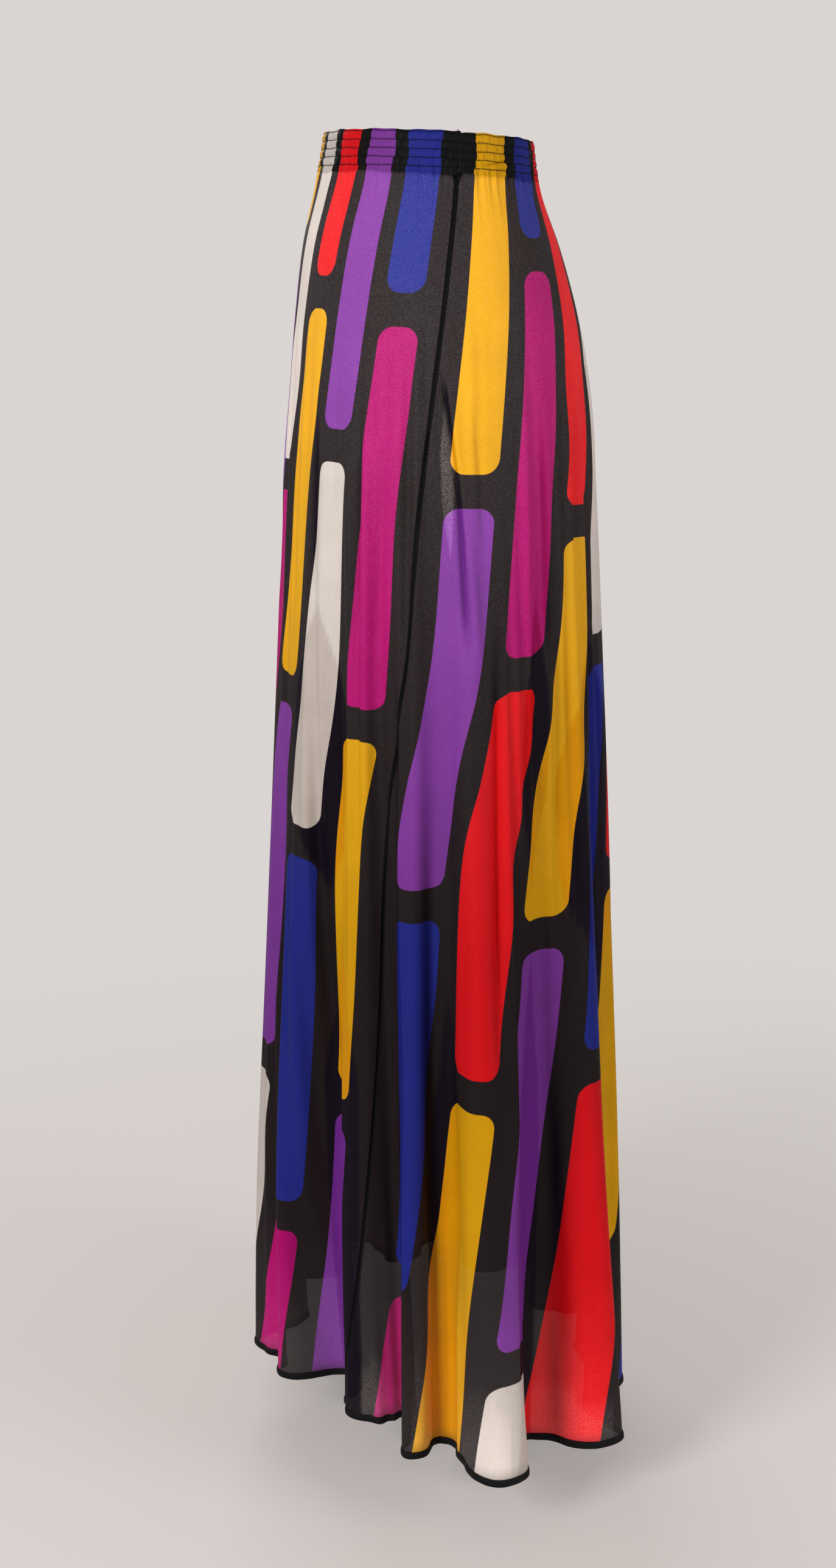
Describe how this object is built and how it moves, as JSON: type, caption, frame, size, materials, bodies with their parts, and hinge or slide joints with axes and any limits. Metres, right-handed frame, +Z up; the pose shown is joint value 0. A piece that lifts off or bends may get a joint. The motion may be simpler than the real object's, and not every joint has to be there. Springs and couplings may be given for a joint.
{
  "type": "maxi skirt",
  "caption": "Long flared sheer skirt in its worn shape: elastic waist casing, two panels with hanging folds, bound hem.",
  "frame": {"origin": "on the waist's centre line at the middle of the elastic casing's height, where the wearer holds the skirt", "axes": "+Z up along the skirt's length, -Y towards the front, +X towards the wearer's left side"},
  "size_m": [0.4755, 0.3073, 1.0671],
  "materials": {
    "printed_crepe": "sheer printed silk crepe, fine pebbled grain, soft sheen",
    "casing_crepe": "doubled printed silk crepe, shirred over elastic in stitched rows",
    "binding_silk": "matt black silk bias binding"
  },
  "bodies": {
    "root": {"front_panel": "printed_crepe", "back_panel": "printed_crepe", "waist_casing_front": "casing_crepe", "waist_casing_back": "casing_crepe", "hem_binding": "binding_silk"}
  },
  "joints": []
}
